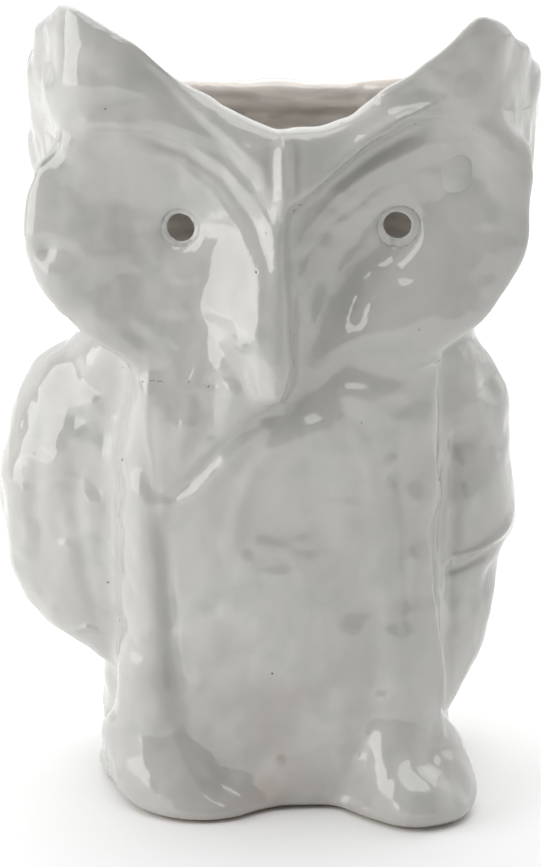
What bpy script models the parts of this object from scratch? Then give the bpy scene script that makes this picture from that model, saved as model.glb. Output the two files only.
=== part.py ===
"""Hollow ceramic owl with an open mouth, hand-built from clay walls, slabs and flaps.

Lengths below are in millimetres and become metres when the meshes are made. +Z is up and the
owl faces -Y. Left and right are the viewer's, looking at the face. The body and the head share
one plan curve that changes with height. Every clay piece lies on that curve or, for the face,
in front of it.
"""

import math

import bmesh
import bpy

MM = 0.001
ORIGIN_X = -5.73        # the plan is drawn round the body's axis; these put the origin
ORIGIN_Y = -6.80        # under the middle of the whole owl

# Assembly
SEAM = 0.5              # width of the joint between neighbouring pieces
BED = 0.8               # joint between a laid-on piece and the wall behind it
WALL = 6.5              # thickness of the thrown walls
BASE_THICKNESS = 7.0
BODY_TOP = 205.0        # height where the body wall ends and the head wall starts
FACE_PLANE = -48.0      # the head wall stops here and the face closes the front
EDGE_LIFT = 10.0        # lift at which the edges of the laid-on pieces are measured

# Plan of the wall by height: height, half width, front depth, back depth, squareness, centre X
PLAN = (
    (0.0, 74.0, 57.0, 70.0, 2.8, -1.5),
    (60.0, 72.5, 58.5, 73.0, 2.7, -2.0),
    (120.0, 71.5, 60.0, 74.0, 2.6, -2.0),
    (165.0, 73.0, 60.0, 75.0, 2.5, -1.5),
    (205.0, 86.0, 60.0, 76.0, 2.4, 0.5),
    (240.0, 100.0, 76.0, 76.0, 2.3, 1.5),
    (280.0, 105.0, 80.0, 75.0, 2.3, 1.5),
    (340.0, 105.5, 80.0, 74.0, 2.3, 1.5),
)

# Mouth rim round the sides and back: direction from the front in degrees, height
RIM_SIDE = (
    (-88.0, 312.0),
    (-105.0, 300.0),
    (-125.0, 291.0),
    (-150.0, 286.5),
    (-180.0, 283.5),
    (-210.0, 287.0),
    (-235.0, 291.0),
    (-255.0, 298.0),
    (-272.0, 306.0),
)
BAND_HEIGHT = 13.5
BAND_DEPTH = 9.2

# Face outlines: X, Z
FACE_LEFT = (
    (-4.4, 184.6), (-4.4, 215.0), (-4.4, 250.0), (-4.4, 290.6), (-16.0, 296.0),
    (-26.0, 302.0), (-34.0, 307.2), (-46.0, 308.6), (-58.0, 302.6), (-71.0, 296.1),
    (-86.0, 289.5), (-92.0, 279.0), (-99.0, 274.0), (-103.5, 264.0), (-103.5, 252.0),
    (-101.5, 238.0), (-98.0, 224.0), (-91.0, 212.5), (-80.0, 203.0), (-66.0, 195.5),
    (-56.0, 187.0), (-38.0, 184.6), (-20.0, 184.6),
)
FACE_RIGHT = (
    (4.4, 184.6), (4.4, 215.0), (4.4, 250.0), (4.4, 291.0), (20.0, 292.0),
    (28.0, 296.0), (34.0, 300.8), (45.0, 302.0), (58.0, 299.6), (72.0, 295.1),
    (88.0, 289.5), (94.0, 286.0), (100.0, 281.0), (103.0, 268.0), (101.5, 256.0),
    (102.0, 244.0), (99.0, 233.0), (92.0, 221.0), (81.0, 208.0), (68.0, 200.0),
    (53.0, 190.5), (40.0, 184.6), (20.0, 184.6),
)
EYE_LEFT = (-40.0, 248.0)
EYE_RIGHT = (47.0, 248.0)
EYE_RADIUS = 4.8
FACE_THICKNESS = 7.5

# Brow planes: X, lower height, upper height
BROW_LEFT = (
    (-78.0, 287.5, 291.5), (-66.0, 290.5, 297.0), (-45.0, 289.0, 307.0),
    (-26.0, 283.5, 300.0), (-14.0, 275.5, 293.5), (-5.0, 263.5, 289.0),
)
BROW_RIGHT = (
    (80.0, 286.5, 291.0), (66.0, 291.0, 295.5), (47.0, 290.5, 300.5),
    (31.0, 281.5, 296.5), (18.0, 271.0, 290.0), (5.0, 258.0, 289.5),
)

# Ears: plan point on the outside of the wall, lower height, upper height.
# Points behind the corner are found on the plan curve from their direction.
EAR_LEFT_FRONT = (
    (-39.0, -63.5, 308.6, 310.6), (-47.0, -63.5, 309.6, 316.5), (-58.0, -63.5, 304.0, 325.0),
    (-71.0, -62.5, 297.8, 332.0), (-82.0, -59.5, 294.0, 338.0), (-89.5, -51.0, 290.6, 340.0),
)
EAR_LEFT_SIDE = ((-66.0, 291.0, 335.5), (-75.0, 293.5, 328.0), (-82.0, 296.0, 320.0), (-88.0, 298.5, 312.0))
EAR_RIGHT_FRONT = (
    (38.0, -63.5, 302.8, 304.4), (45.0, -63.5, 303.4, 308.8), (56.0, -63.5, 301.4, 316.5),
    (69.0, -63.0, 297.6, 329.0), (80.0, -61.0, 293.6, 337.0), (90.5, -52.0, 290.8, 331.0),
)
EAR_RIGHT_SIDE = ((66.0, 290.5, 325.0), (75.0, 291.0, 319.0), (82.0, 291.5, 311.5), (88.0, 292.5, 306.0))
EAR_THICKNESS = 7.0
UNDER_EAR_LEFT = ((-88.0, 298.5), (-82.0, 296.0), (-75.0, 293.5), (-66.0, 291.0), (-56.0, 289.8))
UNDER_EAR_RIGHT = ((56.0, 289.8), (66.0, 290.5), (75.0, 291.0), (82.0, 291.5), (88.0, 292.5))

# How far the face swells towards the beak ridge: height, depth
NOSE_LEFT = ((180.0, 21.0), (215.0, 18.0), (250.0, 12.0), (292.0, 3.0), (340.0, 0.0))
NOSE_RIGHT = ((180.0, 15.0), (215.0, 14.0), (250.0, 11.0), (292.0, 3.0), (340.0, 0.0))

# Beak ridge: height, half width, front Y
BEAK = (
    (181.0, 3.0, -86.0), (185.0, 3.7, -89.6), (192.0, 3.8, -88.5), (215.0, 3.6, -84.0),
    (245.0, 3.6, -78.5), (265.0, 3.8, -74.5), (280.0, 3.8, -70.5), (289.5, 3.8, -67.5),
)

# How far the belly stands off the wall: height, lift
BELLY_LIFT = ((0.0, 4.0), (20.0, 6.0), (70.0, 10.0), (120.0, 12.5), (165.0, 13.5), (184.0, 11.0))
# The left leg is pinched to an edge beside the belly: share of its width, share of its height
LEG_LEFT_PROFILE = (
    (0.0, 0.05), (0.25, 0.42), (0.5, 0.70), (0.72, 0.94), (0.84, 1.0), (0.93, 0.93), (1.0, 0.68),
)

# Boundaries seen from the front, as height and X
BELLY_LEFT = (
    (0.0, 0.0), (8.0, -20.0), (22.0, -33.5), (40.0, -43.0), (60.0, -46.0), (114.0, -47.0), (136.0, -46.0),
)
THROAT_EDGE = (
    (136.0, -46.0), (141.0, -41.0), (149.0, -33.0), (158.0, -25.5), (165.0, -17.5), (177.0, -6.0),
    (184.0, -2.0),
)
BELLY_RIGHT = (
    (0.0, 23.0), (8.0, 29.5), (22.0, 35.5), (47.0, 40.5), (77.0, 43.5), (115.0, 44.0), (140.0, 42.0),
    (155.0, 39.0), (165.0, 35.5), (175.0, 30.0), (184.0, 24.0),
)
THROAT_OUTER = ((136.0, -47.5), (145.0, -52.0), (174.0, -52.5), (184.0, -54.0))
CHEEK_RIGHT = ((24.0, 183.8), (38.0, 183.0), (46.0, 184.4), (54.0, 188.2), (64.0, 194.5))
LEG_LEFT_OUTER = ((0.0, -73.0), (60.0, -72.0), (120.0, -70.0), (196.0, -70.5))
LEG_RIGHT_OUTER = ((0.0, 76.0), (40.0, 68.0), (66.0, 65.5), (115.0, 63.0), (200.0, 64.0))

# Feet on the table: direction in degrees, distance from the body centre
FOOT_LEFT = (
    (-92.0, 74.0), (-73.0, 74.5), (-58.0, 79.5), (-47.0, 85.0), (-37.0, 88.0),
    (-26.0, 87.0), (-18.0, 82.5), (-11.0, 76.0), (-4.0, 68.5), (2.0, 63.0),
)
FOOT_RIGHT = (
    (18.0, 63.0), (22.0, 69.0), (26.0, 84.0), (30.5, 100.5), (36.0, 107.0), (42.0, 109.0), (47.0, 109.0),
    (53.0, 103.0), (60.0, 94.5), (70.0, 86.0), (86.0, 79.5),
)
FOOT_LEFT_TOP = 36.0
FOOT_RIGHT_TOP = 46.0

# Wings: height, bulge out from the wall at the side
WING_LEFT = (
    (50.0, 3.0), (56.0, 16.0), (65.0, 27.0), (77.0, 35.0), (93.0, 39.8), (116.0, 42.3),
    (140.0, 40.8), (158.0, 34.2), (170.0, 28.0), (180.0, 21.0), (190.0, 10.0), (196.0, 3.0),
)
COVERT_RIGHT = (
    (104.0, 24.5), (116.0, 26.5), (138.0, 25.5), (158.0, 22.0), (172.0, 17.5), (184.0, 10.5), (194.0, 3.0),
)
WING_RIGHT = ((28.0, 2.5), (38.0, 8.0), (48.0, 12.5), (66.0, 16.0), (84.0, 19.0), (103.5, 20.5))
WING_THICKNESS = 7.0
WING_ACROSS = (0.0, 0.05, 0.1, 0.15, 0.2, 0.25, 0.3, 0.35, 0.41, 0.48, 0.56, 0.65, 0.74, 0.83, 0.92, 1.0)
# How far the bulge has grown: share of the way from the front edge to the back edge, share of the bulge
WING_SWELL = (
    (0.0, 0.0), (0.06, 0.15), (0.13, 0.38), (0.20, 0.64), (0.27, 0.88), (0.34, 0.985), (0.44, 1.0),
    (0.56, 0.96), (0.70, 0.80), (0.85, 0.48), (1.0, 0.0),
)

PIECE_COLOURS = {
    "base_slab": (0.66, 0.62, 0.57),
    "body_wall": (0.74, 0.73, 0.71),
    "head_wall": (0.76, 0.75, 0.73),
    "rim_band": (0.72, 0.66, 0.61),
    "face_left": (0.80, 0.80, 0.78),
    "face_right": (0.79, 0.79, 0.78),
    "brow_left": (0.82, 0.82, 0.80),
    "brow_right": (0.81, 0.81, 0.80),
    "ear_left": (0.78, 0.78, 0.77),
    "ear_right": (0.78, 0.79, 0.78),
    "beak_ridge": (0.83, 0.82, 0.80),
    "throat_left": (0.77, 0.78, 0.76),
    "throat_right": (0.77, 0.76, 0.74),
    "belly_panel": (0.78, 0.76, 0.74),
    "leg_left": (0.83, 0.83, 0.81),
    "leg_right": (0.82, 0.81, 0.79),
    "foot_left": (0.79, 0.77, 0.74),
    "foot_right": (0.78, 0.75, 0.72),
    "wing_left": (0.80, 0.80, 0.79),
    "wing_right": (0.78, 0.78, 0.77),
    "wing_covert_right": (0.81, 0.81, 0.80),
}


# ---------------------------------------------------------------- curves

def smooth(stations, at, column=1):
    """Value of a column at a position, on a smooth curve through the stations."""
    last = len(stations) - 1
    rising = stations[last][0] > stations[0][0]
    index = 0
    while index < last - 1 and (at > stations[index + 1][0]) == rising and at != stations[index + 1][0]:
        index += 1
    start = stations[index]
    end = stations[index + 1]
    before = stations[max(index - 1, 0)]
    after = stations[min(index + 2, last)]
    span = end[0] - start[0]
    share = min(max((at - start[0]) / span, 0.0), 1.0)
    rate_in = (end[column] - before[column]) / (end[0] - before[0]) * span
    rate_out = (after[column] - start[column]) / (after[0] - start[0]) * span
    square = share * share
    cube = square * share
    return (
        (2 * cube - 3 * square + 1) * start[column]
        + (cube - 2 * square + share) * rate_in
        + (3 * square - 2 * cube) * end[column]
        + (cube - square) * rate_out
    )


def spread(count, ends=0.55):
    """Positions from 0 to 1 that sit closer together at both ends."""
    steps = []
    for index in range(count + 1):
        even = index / count
        eased = 0.5 - 0.5 * math.cos(math.pi * even)
        steps.append(even + (eased - even) * ends)
    return steps


def even(count):
    """Evenly spaced positions from 0 to 1."""
    return [index / count for index in range(count + 1)]


def mix(start, end, share):
    return start + (end - start) * share


def crown(share, shoulder):
    """Rounded shoulder: 0 at both ends of the 0 to 1 range, 1 in between."""
    inside = min(share, 1.0 - share) / shoulder
    if inside >= 1.0:
        return 1.0
    return math.sqrt(max(0.0, 1.0 - (1.0 - inside) ** 2))


# ---------------------------------------------------------------- wall plan

def plan_reach(direction, height):
    """Distance from the centre to the outside of the wall."""
    half_width = smooth(PLAN, height, 1)
    front = smooth(PLAN, height, 2)
    back = smooth(PLAN, height, 3)
    power = smooth(PLAN, height, 4)
    angle = math.radians(direction)
    depth = front if math.cos(angle) > 0.0 else back
    across = abs(math.sin(angle)) / half_width
    along = abs(math.cos(angle)) / depth
    return (across ** power + along ** power) ** (-1.0 / power)


def on_wall(direction, height, lift):
    """Point that stands off the outside of the wall by the given lift."""
    reach = plan_reach(direction, height) + lift
    angle = math.radians(direction)
    return (smooth(PLAN, height, 5) + reach * math.sin(angle), -reach * math.cos(angle), height)


def direction_at_x(x, height):
    """Direction in the front quarter where the lifted wall is at the given X."""
    low = -88.0
    high = 88.0
    for _ in range(40):
        middle = 0.5 * (low + high)
        if on_wall(middle, height, EDGE_LIFT)[0] < x:
            low = middle
        else:
            high = middle
    return 0.5 * (low + high)


def direction_at_face_plane(height, lift, side):
    """Direction where the wall, cut by the face plane, ends on the given side."""
    low = 20.0
    high = 88.0
    for _ in range(40):
        middle = 0.5 * (low + high)
        if on_wall(side * middle, height, lift)[1] < FACE_PLANE:
            low = middle
        else:
            high = middle
    return side * 0.5 * (low + high)


def wall_front_y(x, height):
    """Y of the outside of the wall in front of the given X, or the face plane beyond its corner."""
    if height > BODY_TOP + 1.0:
        return FACE_PLANE
    half_width = smooth(PLAN, height, 1)
    front = smooth(PLAN, height, 2)
    power = smooth(PLAN, height, 4)
    offset = abs(x - smooth(PLAN, height, 5)) / half_width
    if offset >= 1.0:
        return 0.0
    return min(-front * (1.0 - offset ** power) ** (1.0 / power), 0.0)


# ---------------------------------------------------------------- mesh builders

def add_piece(name, mesh):
    """Finish a bmesh, give it its own material and put it in the scene."""
    bmesh.ops.remove_doubles(mesh, verts=mesh.verts, dist=1e-6)
    bmesh.ops.recalc_face_normals(mesh, faces=mesh.faces)
    if mesh.calc_volume(signed=True) < 0.0:
        bmesh.ops.reverse_faces(mesh, faces=mesh.faces)
    for face in mesh.faces:
        face.smooth = True
    data = bpy.data.meshes.new(name)
    mesh.to_mesh(data)
    mesh.free()
    data.materials.append(glaze(name))
    piece = bpy.data.objects.new(name, data)
    bpy.context.scene.collection.objects.link(piece)
    return piece


def glaze(name):
    """Glossy fired glaze in the piece's own tone."""
    material = bpy.data.materials.new("glaze_" + name)
    material.use_nodes = True
    shader = material.node_tree.nodes["Principled BSDF"]
    red, green, blue = PIECE_COLOURS[name]
    shader.inputs["Base Color"].default_value = (red, green, blue, 1.0)
    shader.inputs["Roughness"].default_value = 0.15
    shader.inputs["Metallic"].default_value = 0.0
    return material


def corner(point):
    """Point in metres, from the middle of the whole owl."""
    return ((point[0] - ORIGIN_X) * MM, (point[1] - ORIGIN_Y) * MM, point[2] * MM)


def shell(name, outer, inner, closed=False):
    """Solid between two grids of points; rows may close on themselves."""
    mesh = bmesh.new()
    layers = []
    for grid in (outer, inner):
        layers.append([[mesh.verts.new(corner(point)) for point in row] for row in grid])
    rows = len(outer)
    columns = len(outer[0])
    spans = columns if closed else columns - 1
    for layer in layers:
        for row in range(rows - 1):
            for column in range(spans):
                beside = (column + 1) % columns
                mesh.faces.new((
                    layer[row][column], layer[row][beside],
                    layer[row + 1][beside], layer[row + 1][column],
                ))
    front, back = layers
    for row in (0, rows - 1):
        for column in range(spans):
            beside = (column + 1) % columns
            mesh.faces.new((front[row][column], front[row][beside], back[row][beside], back[row][column]))
    if not closed:
        for column in (0, columns - 1):
            for row in range(rows - 1):
                mesh.faces.new((
                    front[row][column], front[row + 1][column],
                    back[row + 1][column], back[row][column],
                ))
    return add_piece(name, mesh)


def sweep(name, sections):
    """Solid through a row of closed sections, capped flat at both ends."""
    mesh = bmesh.new()
    loops = [[mesh.verts.new(corner(point)) for point in section] for section in sections]
    count = len(loops[0])
    for near, far in zip(loops, loops[1:]):
        for index in range(count):
            beside = (index + 1) % count
            mesh.faces.new((near[index], near[beside], far[beside], far[index]))
    mesh.faces.new(loops[0])
    mesh.faces.new(loops[-1])
    return add_piece(name, mesh)


def laid_on_wall(name, across, up, place, thickness, hollow=None):
    """Piece laid on the wall: place gives direction and height, thickness gives the lift."""
    outer = []
    inner = []
    for v in up:
        front_row = []
        back_row = []
        for u in across:
            direction, height = place(u, v)
            lift = thickness(u, v, direction, height)
            bed = BED
            if hollow is not None:
                bed = max(BED, lift - hollow)
            front_row.append(on_wall(direction, height, lift))
            back_row.append(on_wall(direction, height, bed))
        outer.append(front_row)
        inner.append(back_row)
    return shell(name, outer, inner)


# ---------------------------------------------------------------- walls

def build_base():
    """Flat clay disc with a softened lower edge."""
    sections = []
    for height, lift in ((0.0, -1.6), (0.5, -0.5), (1.6, 0.0), (BASE_THICKNESS, 0.0)):
        sections.append([on_wall(7.5 * step, height, lift) for step in range(48)])
    sweep("base_slab", sections)


def build_body_wall():
    """Closed tube from the base to the neck."""
    outer = []
    inner = []
    for share in (0.0, 0.15, 0.3, 0.45, 0.6, 0.72, 0.8, 0.87, 0.94, 1.0):
        height = mix(BASE_THICKNESS + SEAM, BODY_TOP, share)
        outer.append([on_wall(7.5 * step, height, 0.0) for step in range(48)])
        inner.append([on_wall(7.5 * step, height, -WALL) for step in range(48)])
    shell("body_wall", outer, inner, closed=True)


def rim_height(direction):
    """Height of the mouth rim round the sides and the back."""
    return smooth(RIM_SIDE, direction)


def head_top(direction):
    """Upper edge of the head wall: under the ears at the sides, under the rim band behind."""
    if direction > RIM_SIDE[0][0]:
        return smooth(UNDER_EAR_LEFT, direction) - SEAM
    if direction < RIM_SIDE[-1][0]:
        return smooth(UNDER_EAR_RIGHT, direction + 360.0) - SEAM
    return rim_height(direction) - BAND_HEIGHT - SEAM


def build_head_wall():
    """Wall of the head, open at the front, from the neck up to the ears and the rim band."""
    outer = []
    inner = []
    for share in even(8):
        front_row = []
        back_row = []
        for across in even(36):
            for row, lift in ((front_row, 0.0), (back_row, -WALL)):
                height = BODY_TOP + SEAM
                for _ in range(4):
                    left = direction_at_face_plane(height, lift, -1.0)
                    right = direction_at_face_plane(height, lift, 1.0) - 360.0
                    direction = mix(left, right, across)
                    height = mix(BODY_TOP + SEAM, head_top(direction), share)
                row.append(on_wall(direction, height, lift))
        outer.append(front_row)
        inner.append(back_row)
    shell("head_wall", outer, inner)


def build_rim_band():
    """Rounded band on the head wall behind the mouth, thicker than the wall inside."""
    profile = (
        (0.0, -BAND_HEIGHT), (0.0, -7.0), (-0.4, -3.2), (-2.0, -0.9), (-4.6, 0.0),
        (-7.2, -0.9), (-8.8, -3.2), (-BAND_DEPTH, -7.0), (-BAND_DEPTH + 0.8, -BAND_HEIGHT),
    )
    first = RIM_SIDE[0][0] - 0.4
    last = RIM_SIDE[-1][0] + 0.4
    sections = []
    for share in even(30):
        direction = mix(first, last, share)
        top = rim_height(direction)
        sections.append([on_wall(direction, top + drop, lift) for lift, drop in profile])
    sweep("rim_band", sections)


# ---------------------------------------------------------------- face

def hill(x, z, centre_x, centre_z, width, height):
    """Smooth bump of 1 at its centre."""
    return math.exp(-((x - centre_x) / width) ** 2 - ((z - centre_z) / height) ** 2)


def groove(x, z, start, end, width):
    """Smooth trough of 1 along a straight line."""
    run_x = end[0] - start[0]
    run_z = end[1] - start[1]
    share = ((x - start[0]) * run_x + (z - start[1]) * run_z) / (run_x * run_x + run_z * run_z)
    share = min(max(share, 0.0), 1.0)
    away = math.hypot(x - start[0] - share * run_x, z - start[1] - share * run_z)
    return math.exp(-(away / width) ** 2)


def face_y(x, z):
    """Front surface of the face, before the brows are laid on."""
    side = abs(x)
    y = -61.5 + 7.5 * (side / 104.0) ** 5
    y -= 4.5 * hill(side, z, 42.0, 206.0, 30.0, 18.0)
    y -= 3.0 * hill(side, z, 74.0, 232.0, 20.0, 26.0)
    if x < 0.0:
        y -= math.exp(-(side / 27.0) ** 2) * smooth(NOSE_LEFT, z)
        y += 3.0 * hill(x, z, EYE_LEFT[0], EYE_LEFT[1] + 8.0, 26.0, 20.0)
    else:
        y -= math.exp(-(side / 15.0) ** 2) * smooth(NOSE_RIGHT, z)
        y += 2.0 * hill(x, z, EYE_RIGHT[0], EYE_RIGHT[1] + 8.0, 26.0, 20.0)
        y += 4.5 * groove(x, z, (40.0, 240.0), (8.0, 196.0), 11.0)
        y -= 4.0 * hill(x, z, 52.0, 212.0, 24.0, 14.0)
    return y


def build_face(name, outline, eye):
    """Clay slab with a lobed outline and a pierced eye."""
    points = []
    for start, end in zip(outline, outline[1:] + outline[:1]):
        length = math.hypot(end[0] - start[0], end[1] - start[1])
        pieces = max(1, round(length / 13.0))
        for step in range(pieces):
            points.append((mix(start[0], end[0], step / pieces), mix(start[1], end[1], step / pieces)))
    outer = []
    inner = []
    for share in (0.0, 0.05, 0.2, 0.42, 0.64, 0.84, 0.94, 1.0):
        front_row = []
        back_row = []
        for x, z in points:
            angle = math.atan2(z - eye[1], x - eye[0])
            hole_x = eye[0] + EYE_RADIUS * math.cos(angle)
            hole_z = eye[1] + EYE_RADIUS * math.sin(angle)
            at_x = mix(hole_x, x, share)
            at_z = mix(hole_z, z, share)
            y = face_y(at_x, at_z)
            back = min(y + FACE_THICKNESS, FACE_PLANE - SEAM, wall_front_y(at_x, at_z) - BED)
            rounding = 2.2 * (1.0 - crown(mix(0.5, 1.0, share), 0.12)) if share > 0.5 else 0.0
            lip = 1.2 * max(0.0, 1.0 - share / 0.05)
            front_row.append((at_x, y + rounding + lip, at_z))
            back_row.append((at_x, back, at_z))
        outer.append(front_row)
        inner.append(back_row)
    shell(name, outer, inner, closed=True)


def build_brow(name, stations, crest):
    """Raised plane between the mouth and the eye socket, thick along its lower edge."""
    outer = []
    inner = []
    for v in spread(5):
        front_row = []
        back_row = []
        for u in even(12):
            x = mix(stations[0][0], stations[-1][0], u)
            z = mix(smooth(stations, x, 1), smooth(stations, x, 2), v)
            bed = face_y(x, z) - BED
            rise = mix(crest, 1.8, v ** 0.7) * crown(mix(0.02, 1.0, v), 0.3)
            rise *= 0.25 + 0.75 * crown(mix(0.03, 0.9, u), 0.5)
            front_row.append((x, bed - 0.8 - rise, z))
            back_row.append((x, bed, z))
        outer.append(front_row)
        inner.append(back_row)
    shell(name, outer, inner)


def build_beak():
    """Narrow ridge between the eyes, ending below in the beak."""
    profile = ((-1.0, 0.0), (-1.0, 0.62), (-0.62, 0.9), (0.0, 1.0), (0.62, 0.9), (1.0, 0.62), (1.0, 0.0))
    sections = []
    for share in spread(14, 0.4):
        z = mix(BEAK[0][0], BEAK[-1][0], share)
        half = smooth(BEAK, z, 1)
        front = smooth(BEAK, z, 2)
        back = min(face_y(0.0, z) + FACE_THICKNESS, wall_front_y(0.0, z) - 2.0)
        sections.append([(half * across, mix(back, front, out), z) for across, out in profile])
    sweep("beak_ridge", sections)


# ---------------------------------------------------------------- ears

def build_ear(name, front, side):
    """Folded pointed ear: part of the front, round the corner and back along the side."""
    stations = list(front)
    for direction, low, high in side:
        x, y, _ = on_wall(direction, 300.0, 0.0)
        stations.append((x, y, low, high))
    indexed = [(float(index),) + station for index, station in enumerate(stations)]
    last = indexed[-1][0]
    outer = []
    inner = []
    heading = 1.0 if front[0][0] < 0.0 else -1.0
    for v in spread(5, 0.4):
        front_row = []
        back_row = []
        for u in even(16):
            at = u * last
            x = smooth(indexed, at, 1)
            y = smooth(indexed, at, 2)
            z = mix(smooth(indexed, at, 3), smooth(indexed, at, 4), v)
            step_x = smooth(indexed, min(at + 0.05, last), 1) - smooth(indexed, max(at - 0.05, 0.0), 1)
            step_y = smooth(indexed, min(at + 0.05, last), 2) - smooth(indexed, max(at - 0.05, 0.0), 2)
            length = math.hypot(step_x, step_y)
            normal_x = heading * step_y / length
            normal_y = -heading * step_x / length
            thin = EAR_THICKNESS - 3.4 * (1.0 - crown(mix(0.5, 1.0, v), 0.16))
            outside = (EAR_THICKNESS - thin) * 0.5
            front_row.append((x + normal_x * outside, y + normal_y * outside, z))
            back_row.append((x + normal_x * (outside + thin), y + normal_y * (outside + thin), z))
        outer.append(front_row)
        inner.append(back_row)
    shell(name, outer, inner)


# ---------------------------------------------------------------- body front

def build_belly():
    """Arched belly, set back at the foot and full in the middle."""
    def left(height):
        if height < THROAT_EDGE[0][0]:
            return smooth(BELLY_LEFT, height) + SEAM / 2
        if height > 178.0:
            return mix(-4.5, 6.0, (height - 178.0) / 6.0) + SEAM / 2
        return smooth(THROAT_EDGE, height) + SEAM

    def right(height):
        return smooth(BELLY_RIGHT, height) - SEAM / 2

    def place(u, v):
        height = 184.0 * v
        return direction_at_x(mix(left(height), right(height), u), height), height

    def thickness(u, v, direction, height):
        full = smooth(BELLY_LIFT, height)
        return full - 2.0 * (1.0 - crown(u, 0.2)) - 1.5 * (1.0 - crown(mix(0.5, 1.0, v), 0.05))

    laid_on_wall("belly_panel", spread(10, 0.4), even(16), place, thickness)


def build_throats():
    """Flaps that drape from the cheeks over the upper belly."""
    def left_place(u, v):
        height = mix(136.5, 184.0, v)
        x = mix(smooth(THROAT_OUTER, height) + SEAM / 2, smooth(THROAT_EDGE, height) - SEAM, u)
        x = min(x, -3.8 - SEAM)
        return direction_at_x(x, height), height

    def left_thickness(u, v, direction, height):
        full = mix(13.0, 17.0, v)
        sides = 2.5 * (1.0 - crown(mix(0.04, 0.96, u), 0.25))
        ends = 2.5 * (1.0 - crown(mix(0.02, 0.5, v), 0.2))
        return full - sides - ends

    laid_on_wall("throat_left", spread(7, 0.4), spread(9, 0.3), left_place, left_thickness)

    def right_place(u, v):
        top = smooth(CHEEK_RIGHT, mix(BELLY_RIGHT[-1][1], LEG_RIGHT_OUTER[-1][1], u))
        height = mix(140.0, top, v)
        left = smooth(BELLY_RIGHT, min(height, 184.0)) + SEAM / 2
        x = mix(left, smooth(LEG_RIGHT_OUTER, height) - SEAM / 2, u)
        return direction_at_x(x, height), height

    def right_thickness(u, v, direction, height):
        sides = 2.5 * (1.0 - crown(mix(0.04, 0.96, u), 0.25))
        return mix(13.0, 14.5, v) - sides - 1.0 * (1.0 - crown(v, 0.2))

    laid_on_wall("throat_right", spread(7, 0.4), spread(8, 0.3), right_place, right_thickness)


def build_legs():
    """Columns at both front corners of the body."""
    def left_place(u, v):
        top = mix(196.0, 184.0, u)
        height = mix(FOOT_LEFT_TOP + SEAM, top, v)
        if height < THROAT_EDGE[0][0]:
            inner = smooth(BELLY_LEFT, height)
        else:
            inner = smooth(THROAT_OUTER, min(height, 184.0))
        x = mix(smooth(LEG_LEFT_OUTER, height), inner - SEAM, u)
        return direction_at_x(x, height), height

    def left_thickness(u, v, direction, height):
        full = smooth(((36.0, 15.5), (80.0, 14.5), (150.0, 15.0), (196.0, 9.0)), height)
        joined = min(1.0, (height - FOOT_LEFT_TOP) / 25.0)
        edged = smooth(LEG_LEFT_PROFILE, u)
        return full - 9.0 * (1.0 - mix(crown(mix(0.02, 0.98, u), 0.42), edged, joined))

    laid_on_wall("leg_left", spread(8, 0.3), even(14), left_place, left_thickness)

    def right_place(u, v):
        height = mix(FOOT_RIGHT_TOP + SEAM, 140.0 - SEAM, v)
        x = mix(smooth(BELLY_RIGHT, height) + SEAM / 2, smooth(LEG_RIGHT_OUTER, height) - SEAM / 2, u)
        return direction_at_x(x, height), height

    def right_thickness(u, v, direction, height):
        full = smooth(((46.0, 18.0), (80.0, 15.5), (140.0, 14.0)), height)
        return full - 6.0 * (1.0 - crown(mix(0.02, 0.98, u), 0.42))

    laid_on_wall("leg_right", spread(7, 0.3), even(9), right_place, right_thickness)


def build_foot(name, outline, top, leg_lift, inner_edge, outer_edge):
    """Foot that spreads on the table and narrows up to the leg above it."""
    def place(u, v):
        height = top * v
        low = direction_at_x(inner_edge(height), height)
        high = outer_edge(height)
        return mix(low, high, u), height

    def thickness(u, v, direction, height):
        at = min(max(direction, min(outline[0][0], outline[-1][0])), max(outline[0][0], outline[-1][0]))
        spread_out = smooth(outline, at) - plan_reach(direction, height)
        above = leg_lift * (0.35 + 0.65 * crown(mix(0.02, 0.98, u), 0.42))
        eased = v * v * (3.0 - 2.0 * v)
        lift = mix(spread_out, above, min(1.0, eased * 1.02))
        lift += 2.0 * math.sin(math.pi * min(1.0, v * 1.3)) * math.sin(math.pi * u)
        tucked = 1.6 * max(0.0, 1.0 - v * top / 2.5)
        return max(lift - tucked, BED + 1.5)

    laid_on_wall(name, spread(12, 0.3), (0.0, 0.05, 0.14, 0.3, 0.5, 0.7, 0.86, 1.0), place, thickness)


def foot_right_side(height):
    """Direction where the right foot ends at the side."""
    return mix(82.0, 52.0, min(1.0, height / FOOT_RIGHT_TOP) ** 0.8)


def build_feet():
    """Left and right foot."""
    def left_inner(height):
        return smooth(BELLY_LEFT, height) - SEAM / 2

    def left_outer(height):
        return mix(-84.0, -61.5, (height / FOOT_LEFT_TOP) ** 0.8)

    def right_inner(height):
        return smooth(BELLY_RIGHT, height) + SEAM / 2

    build_foot("foot_left", FOOT_LEFT, FOOT_LEFT_TOP, 15.5, left_inner, left_outer)
    build_foot("foot_right", FOOT_RIGHT, FOOT_RIGHT_TOP, 18.0, right_inner, foot_right_side)


# ---------------------------------------------------------------- wings

def wing_swell(share):
    """How the bulge grows from the front edge to the side and falls away behind."""
    return max(smooth(WING_SWELL, share), 0.0)


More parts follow.
